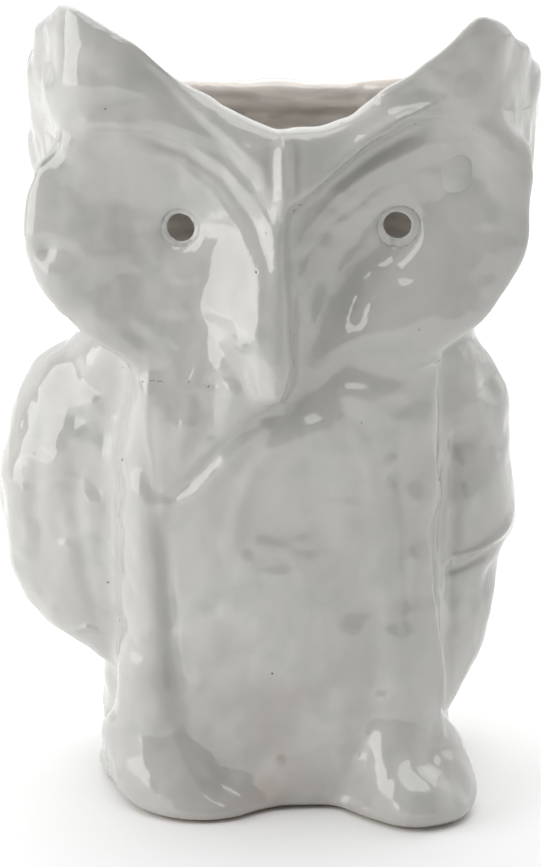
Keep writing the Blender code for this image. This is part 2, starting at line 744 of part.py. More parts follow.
def build_wing(name, side, bulge, front_edge, back_edge, lift_behind, drop_behind):
    """Bulging flap along the side of the body, hollow behind; its ends close in towards the back."""
    low = bulge[0][0]
    high = bulge[-1][0]

    def place(u, v):
        height = mix(low + lift_behind * u ** 1.4, high - drop_behind * u ** 1.4, v)
        return mix(front_edge(height), side * back_edge, u), height

    def thickness(u, v, direction, height):
        station = mix(low, high, v)
        return max(smooth(bulge, station) * wing_swell(u), 0.0) + BED + 2.0 - 1.0 * (1.0 - crown(v, 0.08))

    laid_on_wall(name, WING_ACROSS, spread(11, 0.25), place, thickness, hollow=WING_THICKNESS)


def build_wings():
    """Left wing in one piece, right wing in two with a step between them."""
    def left_front(height):
        return direction_at_x(smooth(LEG_LEFT_OUTER, height), height) - 0.5

    def right_front(height):
        beside_leg = direction_at_x(smooth(LEG_RIGHT_OUTER, height), height)
        return max(beside_leg, foot_right_side(height)) + 0.6

    build_wing("wing_left", -1.0, WING_LEFT, left_front, 134.0, 34.0, 22.0)
    build_wing("wing_covert_right", 1.0, COVERT_RIGHT, right_front, 134.0, 0.0, 22.0)
    build_wing("wing_right", 1.0, WING_RIGHT, right_front, 134.0, 40.0, 0.0)


def main():
    for existing in list(bpy.data.objects):
        bpy.data.objects.remove(existing)
    build_base()
    build_body_wall()
    build_head_wall()
    build_rim_band()
    build_face("face_left", FACE_LEFT, EYE_LEFT)
    build_face("face_right", FACE_RIGHT, EYE_RIGHT)
    build_brow("brow_left", BROW_LEFT, 5.0)
    build_brow("brow_right", BROW_RIGHT, 6.5)
    build_beak()
    build_ear("ear_left", EAR_LEFT_FRONT, EAR_LEFT_SIDE)
    build_ear("ear_right", EAR_RIGHT_FRONT, EAR_RIGHT_SIDE)
    build_belly()
    build_throats()
    build_legs()
    build_feet()
    build_wings()


main()
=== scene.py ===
import math

import bpy
import numpy as np
import openvdb
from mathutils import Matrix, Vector


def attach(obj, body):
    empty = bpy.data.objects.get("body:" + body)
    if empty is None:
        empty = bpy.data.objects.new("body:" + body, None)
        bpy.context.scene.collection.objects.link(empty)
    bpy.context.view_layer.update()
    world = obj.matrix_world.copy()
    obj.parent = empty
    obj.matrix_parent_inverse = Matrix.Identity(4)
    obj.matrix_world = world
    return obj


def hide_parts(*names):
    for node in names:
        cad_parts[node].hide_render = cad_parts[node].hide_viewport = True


MM = 0.001
VOXEL = 1.0 * MM
CREASE = 7.0 * MM                    # radius that clay fills the inner corners between pieces with
BAND = int(CREASE / VOXEL) + 3       # half width of the distance band, in voxels
SEAM_FILL = 0.9 * MM                 # how far pieces grow towards each other before the glaze fuses them
GLAZE_BLUR = 2.5 * MM                # how far the glaze rounds edges off
FIELD_DEPTH = 9.0 * MM               # distances are kept exact this far inside the clay
FIELD_HEIGHT = 5.0 * MM              # and this far outside it
UNDER_SKIN = 1.8 * VOXEL             # clay this close to the skin takes its owner from below
WALL_DEPTH = 1.5 * VOXEL             # the walls between pieces stay this far below the skin
AXIS = np.array([5.73, 6.80, 0.0])   # the body's axis in the frame, in millimetres

GLAZE_THICK = (0.470, 0.463, 0.436)
GLAZE_THIN = (0.560, 0.552, 0.524)
GLAZE_GREEN = (0.445, 0.462, 0.432)
GLAZE_BLUSH = (0.520, 0.440, 0.410)
# warm tone under the rim inside the mouth, made far paler than the glaze as painted light
MOUTH_PAINTED_LIGHT = (0.900, 0.830, 0.770)
# painted shade on the inner wall and floor of the hollow, in a dark clay tone
HOLLOW_PAINTED_SHADE = (0.340, 0.315, 0.280)
# near black in the pinholes: painted shade inside the pits
PINHOLE_PAINTED_SHADE = (0.100, 0.080, 0.060)
CLAY_BARE = (0.620, 0.540, 0.450)
PAPER = (0.93, 0.93, 0.93)
MOUTH_PLACE = (0.006, 0.080, 0.300)
BLUSH_PLACE = (0.006, -0.066, 0.018)
HOLLOW_SQUASH = (0.72, 1.0, 0.0)       # the hollow is wider than deep, and this makes it round
HOLLOW_CENTRE = (0.0052, 0.0068, 0.0)  # its middle after that
BARE_FOOT = (0.0016, 0.0009)           # heights between which the glaze gives way to bare clay
# Each pair below is where a tint ends and where it is full, in metres. The tints are painted shade on the
# hollow's wall and floor, and painted light under the rim.
WALL_FACING = (-0.008, -0.020)         # radius times how far the skin turns away from the middle
WALL_RADIUS = (0.0765, 0.0745)
WALL_TOP = (0.262, 0.236)
FLOOR_RADIUS = (0.060, 0.056)
FLOOR_BOTTOM = (0.010, 0.012)
FLOOR_TOP = (0.030, 0.025)

# Light from the room, added up: (axis of the direction, from, to, strength at from, strength at to).
ROOM_LIGHT = (
    ("Y", 0.05, 0.65, 0.10, 0.95),
    ("X", 0.60, 0.95, 0.0, 0.7),
    ("Z", 0.60, 0.90, 0.0, 0.4),
)
BACKDROP = 0.92                      # strength of the room as the camera sees it
CAMERA_PLACE = (0.00173, -1.5442, 0.5943)
CAMERA_DIP = 16.136                  # degrees that the camera looks down by
CAMERA_LENS = 158.6
FLOOR_SIZE = 8.0
FLOOR_DROP = 0.8 * MM                # gap under the part
# (name, place, aimed at, width, height, watts)
SOFTBOXES = (
    ("soft_key", (-1.30, -0.42, 0.62), (0, 0, 0.17), 1.3, 1.3, 13.5),
    ("soft_top", (0.15, -0.45, 1.50), (0, 0, 0.20), 1.3, 0.8, 6.0),
    ("soft_back", (0.0, 1.35, 1.30), (0, 1.35, 0), 3.0, 2.5, 26.0),
)

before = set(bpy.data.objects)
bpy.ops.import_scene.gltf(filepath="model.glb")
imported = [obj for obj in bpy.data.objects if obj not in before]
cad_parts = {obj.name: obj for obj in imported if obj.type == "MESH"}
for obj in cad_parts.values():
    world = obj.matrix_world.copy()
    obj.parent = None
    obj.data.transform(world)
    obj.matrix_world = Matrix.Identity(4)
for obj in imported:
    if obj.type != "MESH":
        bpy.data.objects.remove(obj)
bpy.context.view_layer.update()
NODES = sorted(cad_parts)


def eased(value, low, high):
    """Smooth step from 0 at low to 1 at high."""
    t = np.clip((value - low) / (high - low), 0.0, 1.0)
    return t * t * (3.0 - 2.0 * t)


# ---------------------------------------------------------------- volume of the fused clay

def node_mesh(name):
    """Corner points and triangles of a CAD node."""
    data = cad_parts[name].data
    data.calc_loop_triangles()
    points = np.zeros(len(data.vertices) * 3, np.float32)
    data.vertices.foreach_get("co", points)
    triangles = np.zeros(len(data.loop_triangles) * 3, np.int32)
    data.loop_triangles.foreach_get("vertices", triangles)
    return points.reshape(-1, 3), triangles.reshape(-1, 3).astype(np.uint32)


def distance_fields():
    """Distance to the nearest piece, which piece that is, and the lowest grid corner."""
    meshes = {name: node_mesh(name) for name in NODES}
    low = np.min([points.min(0) for points, _ in meshes.values()], axis=0)
    high = np.max([points.max(0) for points, _ in meshes.values()], axis=0)
    base = np.floor(low / VOXEL).astype(int) - BAND - 2
    top = np.ceil(high / VOXEL).astype(int) + BAND + 2
    shape = tuple(top - base + 1)
    nearest = np.full(shape, BAND * VOXEL, np.float32)
    piece = np.zeros(shape, np.int8)
    transform = openvdb.createLinearTransform(voxelSize=VOXEL)
    for index, name in enumerate(NODES):
        points, triangles = meshes[name]
        grid = openvdb.FloatGrid.createLevelSetFromPolygons(
            points, triangles=triangles, transform=transform, halfWidth=float(BAND))
        near = np.floor(points.min(0) / VOXEL).astype(int) - BAND
        far = np.ceil(points.max(0) / VOXEL).astype(int) + BAND
        block = np.zeros(tuple(far - near + 1), np.float32)
        grid.copyToArray(block, ijk=tuple(int(c) for c in near))
        window = tuple(slice(a - b, a - b + n) for a, b, n in zip(near, base, block.shape))
        closer = block < nearest[window]
        nearest[window][closer] = block[closer]
        piece[window][closer] = index
    return nearest, piece, base


def blurred(field, sigma):
    """Gaussian blur by the given width in voxels."""
    reach = max(1, int(math.ceil(2.6 * sigma)))
    taps = np.exp(-0.5 * (np.arange(-reach, reach + 1) / sigma) ** 2)
    taps = (taps / taps.sum()).astype(np.float32)
    for axis in range(3):
        padded = np.pad(field, [(reach, reach) if a == axis else (0, 0) for a in range(3)], mode="edge")
        total = np.zeros_like(field)
        for step, weight in enumerate(taps):
            window = [slice(None)] * 3
            window[axis] = slice(step, step + field.shape[axis])
            total += weight * padded[tuple(window)]
        field = total
    return field


def without_sealed_pockets(solid):
    """Solid mask with every pocket that the outside can't reach filled in."""
    empty = ~solid
    reached = np.zeros_like(empty)
    reached[0] = True
    count = -1
    while count != int(reached.sum()):
        count = int(reached.sum())
        for axis in range(3):
            wave = np.moveaxis(reached, axis, 0)
            free = np.moveaxis(empty, axis, 0)
            for i in range(1, wave.shape[0]):
                wave[i] |= wave[i - 1] & free[i]
            for i in range(wave.shape[0] - 2, -1, -1):
                wave[i] |= wave[i + 1] & free[i]
    return ~reached


def filled_creases(field, base):
    """The same field with every inner corner rounded out to the crease radius."""
    transform = openvdb.createLinearTransform(voxelSize=VOXEL)
    corner = tuple(int(c) for c in base)
    grid = openvdb.FloatGrid(BAND * VOXEL)
    grid.transform = transform
    grid.copyFromArray(field, ijk=corner)
    points, triangles, quads = grid.convertToPolygons(isovalue=CREASE)
    swollen = openvdb.FloatGrid.createLevelSetFromPolygons(
        points, triangles=triangles, quads=quads, transform=transform, halfWidth=float(BAND))
    result = np.empty_like(field)
    swollen.copyToArray(result, ijk=corner)
    return np.minimum(field, result + CREASE)


def eye_room(shape, base):
    """1 near the two eye holes, fading to 0 away from them, on the grid's x and z."""
    x = (np.arange(shape[0]) + base[0]) * VOXEL / MM - AXIS[0]
    z = (np.arange(shape[2]) + base[2]) * VOXEL / MM
    room = np.zeros((shape[0], shape[2]))
    for eye_x, eye_z in EYES:
        away = np.hypot(x[:, None] - eye_x, z[None, :] - eye_z)
        room = np.maximum(room, 1.0 - eased(away, *EYE_ROOM))
    return room[:, None, :].astype(np.float32)


def fused_volume():
    """Signed field of the fused clay, the piece each voxel belongs to, and the lowest grid corner."""
    nearest, piece, base = distance_fields()
    room = eye_room(nearest.shape, base)
    joined = room * nearest + (1.0 - room) * filled_creases(nearest, base)
    grown = np.clip(joined, -FIELD_DEPTH, FIELD_HEIGHT) - SEAM_FILL
    field = blurred(grown, GLAZE_BLUR / VOXEL) + SEAM_FILL
    solid = without_sealed_pockets(field < 0.0)
    field[solid & (field >= 0.0)] = -0.4 * VOXEL
    return field, piece, base


# ---------------------------------------------------------------- surface with shared seams

CORNERS = [(i, j, k) for i in (0, 1) for j in (0, 1) for k in (0, 1)]
EDGES = [
    (a, b) for a in range(8) for b in range(a + 1, 8)
    if sum(abs(p - q) for p, q in zip(CORNERS[a], CORNERS[b])) == 1
]


def square_to_skin(field, piece):
    """The pieces with every voxel just under the skin given the owner of the clay beneath it."""
    cells = np.argwhere((field < 0.0) & (field > -UNDER_SKIN))
    cells = cells[np.all((cells > 0) & (cells < np.array(field.shape) - 1), axis=1)]
    i, j, k = cells.T
    slope = np.stack([field[i + 1, j, k] - field[i - 1, j, k], field[i, j + 1, k] - field[i, j - 1, k],
                      field[i, j, k + 1] - field[i, j, k - 1]], axis=1)
    slope /= np.maximum(np.linalg.norm(slope, axis=1, keepdims=True), 1e-9)
    below = cells - slope * ((UNDER_SKIN + field[i, j, k]) / VOXEL)[:, None]
    below = np.clip(np.rint(below).astype(int), 0, np.array(field.shape) - 1)
    squared = piece.copy()
    squared[i, j, k] = piece[tuple(below.T)]
    return squared


def surface_net(field, piece, base):
    """Shared points, their outward direction and depth, and every piece's quads with owner and skin flag."""
    label = np.where(field < 0.0, square_to_skin(field, piece) + 1, 0).astype(np.int8)
    shape = np.array(label.shape) - 1
    first = label[:-1, :-1, :-1]
    mixed = np.zeros(tuple(shape), bool)
    for i, j, k in CORNERS[1:]:
        mixed |= label[i:shape[0] + i, j:shape[1] + j, k:shape[2] + k] != first
    cells = np.argwhere(mixed)
    corner_label = np.stack([label[tuple((cells + c).T)] for c in CORNERS])
    corner_value = np.stack([field[tuple((cells + c).T)] for c in CORNERS])
    on_skin = (corner_label == 0).any(axis=0)
    total = np.zeros((len(cells), 3))
    count = np.zeros(len(cells))
    for a, b in EDGES:
        value_a, value_b = corner_value[a], corner_value[b]
        crosses = (value_a < 0) != (value_b < 0)
        share = np.where(crosses, value_a / np.where(crosses, value_a - value_b, 1.0), 0.5)
        used = np.where(on_skin, crosses, corner_label[a] != corner_label[b])
        start, end = np.array(CORNERS[a], float), np.array(CORNERS[b], float)
        total += np.where(used[:, None], start + share[:, None] * (end - start), 0.0)
        count += used
    points = (cells + total / count[:, None] + base) * VOXEL
    signs = 2.0 * np.array(CORNERS, float) - 1.0
    outward = corner_value.T @ signs
    outward /= np.maximum(np.linalg.norm(outward, axis=1, keepdims=True), 1e-9)
    depth = np.maximum(-corner_value.mean(axis=0), 0.0)
    sunk = np.where(on_skin, 0.0, np.maximum(WALL_DEPTH - depth, 0.0))
    points -= outward * sunk[:, None]
    number = np.full(tuple(shape), -1, np.int32)
    number[tuple(cells.T)] = np.arange(len(cells))
    quads, owners, skins = [], [], []
    for axis in range(3):
        u, v = (axis + 1) % 3, (axis + 2) % 3
        low = [slice(None)] * 3
        high = [slice(None)] * 3
        low[axis], high[axis] = slice(0, -1), slice(1, None)
        here, there = label[tuple(low)], label[tuple(high)]
        edges = np.argwhere(here != there)
        inside = np.all((edges[:, [u, v]] > 0) & (edges[:, [u, v]] < shape[[u, v]]), axis=1)
        edges = edges[inside]
        label_here = here[tuple(edges.T)]
        label_there = there[tuple(edges.T)]
        ring = []
        for du, dv in ((-1, -1), (0, -1), (0, 0), (-1, 0)):
            cell = edges.copy()
            cell[:, u] += du
            cell[:, v] += dv
            ring.append(number[tuple(cell.T)])
        quad = np.stack(ring, axis=1)
        skin = (label_here == 0) | (label_there == 0)
        for owner, face in ((label_here, quad), (label_there, quad[:, ::-1])):
            used = owner > 0
            quads.append(face[used])
            owners.append(owner[used])
            skins.append(skin[used])
    return points, outward, depth, np.concatenate(quads), np.concatenate(owners), np.concatenate(skins)


def point_normals(points, quads):
    """Area-weighted normals of the shared points."""
    a, b, c, d = (points[quads[:, i]] for i in range(4))
    across = np.cross(c - a, d - b)
    normals = np.zeros_like(points)
    for axis in range(3):
        weights = np.repeat(across[:, axis], 4)
        normals[:, axis] = np.bincount(quads.ravel(), weights=weights, minlength=len(points))
    return normals / np.maximum(np.linalg.norm(normals, axis=1, keepdims=True), 1e-12)


# ---------------------------------------------------------------- hand modelling

# Thumb and tool marks on the front: (path of (x, z) from the body's axis, height, half width, shape).
# All in millimetres. A height below zero is a groove. "soft" is rounded, "crest" is pinched to an
# edge.
MARKS = (
    (((-85, 291), (-67, 292), (-52, 290), (-36, 284), (-22, 275), (-11, 264), (-4, 252), (-1, 243)),
     1.2, 3.0, "crest"),
    (((-66, 326), (-55, 317), (-44, 303), (-30, 289), (-16, 277), (-5, 266)), -2.2, 4.2, "soft"),
    (((-32, 297), (-20, 287), (-7, 275)), 0.8, 2.4, "soft"),
    (((-83, 306), (-67, 307), (-52, 304), (-41, 299)), 1.0, 2.6, "crest"),
    (((8, 264), (20, 275), (35, 287), (47, 294), (64, 301)), 3.8, 2.4, "crest"),
    (((7, 256), (20, 266), (30, 273), (47, 284), (63, 291), (81, 293)), -2.0, 3.4, "soft"),
    (((6, 286), (6, 275), (6, 262)), -2.2, 2.6, "soft"),
    (((-4, 284), (-4, 274), (-2, 262)), -1.2, 2.2, "soft"),
    (((1, 291), (1, 272), (1, 249)), 1.8, 1.8, "crest"),
    (((-79, 288), (-60, 288), (-38, 280), (-22, 269), (-10, 252), (-4, 236), (-3, 220)), -0.9, 2.4, "soft"),
    (((-70, 283), (-44, 277), (-28, 265), (-16, 249), (-9, 232), (-7, 214)), 0.5, 1.8, "crest"),
    (((5, 236), (10, 248), (24, 263), (39, 274), (59, 282), (79, 282), (92, 273)), 0.8, 2.0, "crest"),
    (((4, 214), (9, 236), (22, 252), (38, 264), (56, 273), (76, 274)), -0.6, 2.2, "soft"),
    (((4, 209), (6, 226), (15, 242)), 0.6, 1.6, "crest"),
    (((-35, 193), (-36, 177), (-39, 161), (-42, 148)), 0.6, 3.0, "soft"),
    (((-26, 192), (-27, 177), (-31, 162)), -0.6, 2.8, "soft"),
    (((-17, 199), (-19, 184), (-23, 170)), 0.4, 2.6, "soft"),
    (((-47, 136), (-37, 144), (-26, 159), (-16, 168), (-7, 175), (2, 179)), -1.5, 3.2, "soft"),
    (((-44, 142), (-31, 157), (-20, 168), (-9, 177)), 0.7, 3.0, "soft"),
    (((-20, 113), (-17, 134), (-10, 153), (4, 166), (22, 171)), 1.6, 4.0, "soft"),
    (((29, 173), (36, 156), (40, 137), (43, 107), (44, 73)), 1.8, 4.0, "soft"),
    (((-52, 179), (-52, 158), (-51, 129), (-47, 107), (-46, 73), (-43, 46), (-37, 30), (-30, 16)),
     -1.0, 3.0, "soft"),
    (((62, 156), (63, 127), (64, 92), (66, 62), (69, 33)), 2.6, 2.0, "crest"),
    (((71, 162), (72, 135), (73, 108), (73, 70)), -2.2, 2.6, "soft"),
    (((58, 256), (38, 236), (21, 214), (9, 192)), -4.2, 9.0, "soft"),
    (((-86, 138), (-84, 112), (-79, 84)), -1.8, 4.0, "soft"),
    (((-99, 150), (-103, 120), (-99, 92)), -1.2, 4.0, "soft"),
    (((46, 164), (48, 145), (50, 119), (51, 90), (52, 66)), -2.2, 4.0, "soft"),
    (((69, 101), (76, 103), (84, 106), (91, 110), (98, 117)), 2.6, 2.2, "crest"),
    (((70, 95), (78, 97), (86, 100), (96, 106)), -2.4, 3.0, "soft"),
    (((-88, 67), (-82, 70), (-76, 69)), 1.4, 1.6, "crest"),
    (((48, 188), (61, 194), (75, 201), (83, 207)), 1.0, 2.2, "crest"),
    (((-4, 256), (-6, 225), (-7, 172)), 4.0, 6.0, "soft"),
    (((-14, 244), (-17, 215), (-20, 165)), 1.6, 9.0, "soft"),
    (((-40, 135), (-27, 149), (-14, 162), (0, 172)), 1.8, 5.0, "soft"),
    (((-53, 198), (-53, 168), (-51, 140)), 1.3, 2.6, "crest"),
    (((-47, 128), (-46, 90), (-43, 55), (-36, 34)), -1.4, 3.4, "soft"),
)
# Finger dents and small lumps on the front: (x, z, radius, height).
DENTS = (
    (-94, 276, 7, -1.6), (-95, 239, 4, -1.8), (-81, 213, 8, -1.4), (-40, 248, 9, -1.2),
    (47, 248, 7, -0.8), (4, 126, 24, -0.9), (2, 153, 16, 0.5), (8, 179, 11, -3.0),
    (-68, 258, 24, -3.2), (-60, 230, 18, -1.6), (70, 258, 20, -2.6), (75, 153, 6, -2.6), (88, 174, 5, -2.4),
    (84, 84, 11, -3.2), (46, 156, 4, -1.6), (46, 144, 3, -1.2), (66, 27, 9, -2.0), (-16, 13, 4.5, 1.4),
    (60, 36, 6, 1.2), (-47, 135, 5, 1.4), (-3, 184, 4, 1.3), (-52, 220, 18, -1.0), (64, 220, 16, 1.2),
    (-91, 167, 14, 1.2), (-97, 114, 10, -1.6), (-88, 92, 9, 1.2), (-84, 140, 9, -1.2), (-30, 45, 9, -1.3),
    (17, 52, 7, -1.0), (58, 61, 8, -1.4),
    (-70, 60, 12, 1.0), (30, 30, 12, 1.2), (-62, 130, 12, 0.9), (-62, 96, 9, -0.8), (78, 128, 10, 1.4),
)
EYES = ((-40, 248), (47, 248))       # (x, z) of the eye holes
EYE_ROOM = (8.0, 14.0)               # round an eye, creases stay open up to the first radius
# Rounded unevenness of the clay everywhere: (size, height).
LUMPS = ((34.0, 1.4), (15.0, 0.75), (7.0, 0.22))
LUMP_SEED = 11
# Throwing lines on the wall behind the mouth: height, spacing, and how far they wander.
THROWN_HEIGHT = 0.13
THROWN_SPACING = 7.5
THROWN_WANDER = 40.0
THROWN_SEED = 5
FADE = (1.5 * MM, 8.0 * MM)          # below the skin, the marks fade out between these depths
FOOT_RISE = (0.5, 8.0)               # above the table, they grow in between these heights
# Where marks, throwing lines and the throat's shift apply: how far the skin turns to the front or
# back, and how far it lies from the axis. Each pair is where they start and where they are full.
FRONT_TURN, FRONT_PLACE = (0.05, 0.45), (-5.0, 15.0)
THROWN_TURN, THROWN_PLACE = (0.2, 0.6), (5.0, 25.0)
THROAT_TURN, THROAT_PLACE = (-0.35, -0.05), (25.0, 40.0)


def mark_height(x, z, path, height, width, shape):
    """Height of one tool mark at each point, fading towards the ends of its path."""
    path = np.array(path, float)
    lengths = np.hypot(*(path[1:] - path[:-1]).T)
    total = lengths.sum()
    nearest = np.full(len(x), 1e9)
    along = np.zeros(len(x))
    done = 0.0
    for start, end, length in zip(path[:-1], path[1:], lengths):
        ux, uz = (end - start) / length
        t = np.clip((x - start[0]) * ux + (z - start[1]) * uz, 0.0, length)
        dx, dz = x - start[0] - t * ux, z - start[1] - t * uz
        distance = np.hypot(dx, dz)
        closer = distance < nearest
        nearest = np.where(closer, distance, nearest)
        along = np.where(closer, done + t, along)
        done += length
    fade = np.sin(np.pi * np.clip(along / total, 0.02, 0.98)) ** 0.5
    reach = nearest / width
    if shape == "crest":
        profile = np.exp(-(np.sqrt(reach ** 2 + 0.05) - 0.22) * 1.3)
    else:
        profile = np.exp(-reach ** 2)
    return height * fade * profile


def value_noise(points, size, seed):
    """Smooth noise of about unit height on a lattice of the given spacing."""
    source = np.random.default_rng(seed)
    cell = points / size
    low = np.floor(cell.min(0)).astype(int) - 1
    cell = cell - low
    lattice = source.normal(0.0, 1.0, tuple(np.ceil(cell.max(0)).astype(int) + 2))
    corner = np.floor(cell).astype(int)
    t = cell - corner
    t = t * t * t * (t * (t * 6.0 - 15.0) + 10.0)
    total = np.zeros(len(points))
    for i, j, k in CORNERS:
        weight = np.ones(len(points))
        for axis, bit in enumerate((i, j, k)):
            weight *= t[:, axis] if bit else 1.0 - t[:, axis]
        total += weight * lattice[corner[:, 0] + i, corner[:, 1] + j, corner[:, 2] + k]
    return total


# Area where the face runs smoothly down into the throat: centre x, z and reach in x, z.
THROAT = (-31.0, 184.0, 19.0, 34.0)
THROAT_EDGE = 1.4                    # the surface is fitted out to this many reaches
THROAT_CELL = 1.5                    # cell of the fitted height map


def height_map(x, z, y, rect, columns, rows):
    """Mean y of the points in each cell of a grid, smoothed, and which cells hold any."""
    total = np.histogram2d(x, z, (columns, rows), rect, weights=y)[0]
    count = np.histogram2d(x, z, (columns, rows), rect)[0]
    total, count = (blurred(grid[:, :, None], 0.8)[:, :, 0] for grid in (total, count))
    return total / np.maximum(count, 1e-6), count > 0.3


def looked_up(grid, at_x, at_z):
    """Values between the cells of a grid, weighted by distance."""
    left, low = at_x.astype(int), at_z.astype(int)
    share_x, share_z = at_x - left, at_z - low
    result = np.zeros(len(at_x))
    for i in (0, 1):
        for j in (0, 1):
            part = (share_x if i else 1.0 - share_x) * (share_z if j else 1.0 - share_z)
            result += part * grid[left + i, low + j]
    return result


def throat_shift(x, y, z, facing):
    """Shift in y at each point that levels the step between the face and the throat."""
    middle_x, middle_z, reach_x, reach_z = THROAT
    u, v = (x - middle_x) / reach_x, (z - middle_z) / reach_z
    span = 2.0 * THROAT_EDGE
    columns, rows = int(span * reach_x / THROAT_CELL), int(span * reach_z / THROAT_CELL)
    near = np.flatnonzero(facing & (np.abs(u) < THROAT_EDGE) & (np.abs(v) < THROAT_EDGE))
    rect = [[-THROAT_EDGE, THROAT_EDGE]] * 2
    relief, known = height_map(u[near], v[near], y[near], rect, columns, rows)
    centre_u = (np.arange(columns) + 0.5) / columns * span - THROAT_EDGE
    centre_v = (np.arange(rows) + 0.5) / rows * span - THROAT_EDGE
    grid_u, grid_v = np.meshgrid(centre_u, centre_v, indexing="ij")
    terms = np.stack([grid_u ** i * grid_v ** j for i in range(3) for j in range(4)], axis=-1)
    fitted = terms @ np.linalg.lstsq(terms[known], relief[known], rcond=None)[0]
    shift = np.where(known, fitted - relief, 0.0)
    shift *= (1.0 - eased(np.abs(grid_u), 0.5, 1.2)) * (1.0 - eased(np.abs(grid_v), 0.5, 1.2))
    at_u = np.clip((u + THROAT_EDGE) / span * columns - 0.5, 0.0, columns - 1.001)
    at_v = np.clip((v + THROAT_EDGE) / span * rows - 0.5, 0.0, rows - 1.001)
    return looked_up(shift, at_u, at_v)


def front_relief(x, z):
    """Height of all marks and dents on the front."""
    height = np.zeros(len(x))
    for path, tall, width, shape in MARKS:
        height += mark_height(x, z, path, tall, width, shape)
    for dent_x, dent_z, radius, tall in DENTS:
        height += tall * np.exp(-((x - dent_x) ** 2 + (z - dent_z) ** 2) / radius ** 2)
    return height


def modelled(points, normals, depth):
    """Points pushed in and out by the maker's hands, less and less below the skin."""
    place = points / MM - AXIS
    x, y, z = place.T
    ahead = -normals[:, 1]
    front = eased(ahead, *FRONT_TURN) * eased(-y, *FRONT_PLACE)
    chosen = np.flatnonzero(front > 0.0)
    height = np.zeros(len(points))
    height[chosen] = front_relief(x[chosen], z[chosen])
    height *= front
    thrown = eased(ahead, *THROWN_TURN) * eased(y, *THROWN_PLACE)
    turns = 2.0 * np.pi * z / THROWN_SPACING + 0.8 * value_noise(place, THROWN_WANDER, THROWN_SEED)
    height += THROWN_HEIGHT * thrown * np.sin(turns)
    for index, (size, tall) in enumerate(LUMPS):
        height += tall * value_noise(place, size, LUMP_SEED + index)
    shallow = 1.0 - eased(depth, *FADE)
    height *= eased(z, *FOOT_RISE) * shallow
    moved = points + normals * height[:, None] * MM
    outer = eased(ahead, *THROAT_TURN) * eased(-y, *THROAT_PLACE) * shallow
    moved[:, 1] += throat_shift(x, y, z, (outer > 0.9) & (depth < 0.5 * MM)) * outer * MM
    return moved


# ---------------------------------------------------------------- pieces

def piece_mesh(name, points, normals, quads):
    """Mesh of the given quads with smooth shading from the shared normals."""
    used, local = np.unique(quads, return_inverse=True)
    local = local.reshape(-1, 4)
    data = bpy.data.meshes.new(name)
    data.vertices.add(len(used))
    data.vertices.foreach_set("co", points[used].astype(np.float32).ravel())
    data.loops.add(len(local) * 4)
    data.loops.foreach_set("vertex_index", local.ravel().astype(np.int32))
    data.polygons.add(len(local))
    data.polygons.foreach_set("loop_start", np.arange(0, len(local) * 4, 4, dtype=np.int32))
    data.polygons.foreach_set("use_smooth", np.ones(len(local), bool))
    data.update(calc_edges=True)
    data.normals_split_custom_set_from_vertices(normals[used].astype(np.float32))
    return data


def build_pieces(material):
    """One glazed mesh for each CAD node, cut from the fused surface."""
    field, piece, base = fused_volume()
    points, outward, depth, quads, owners, skins = surface_net(field, piece, base)
    points = modelled(points, outward, depth)
    normals = point_normals(points, quads[skins])
    for index, name in enumerate(NODES):
        data = piece_mesh(name + "_glazed", points, normals, quads[owners == index + 1])
        data.materials.append(material)
        shown = bpy.data.objects.new(name + "_glazed", data)
        bpy.context.scene.collection.objects.link(shown)
        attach(shown, "root")
        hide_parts(name)


# ---------------------------------------------------------------- glaze

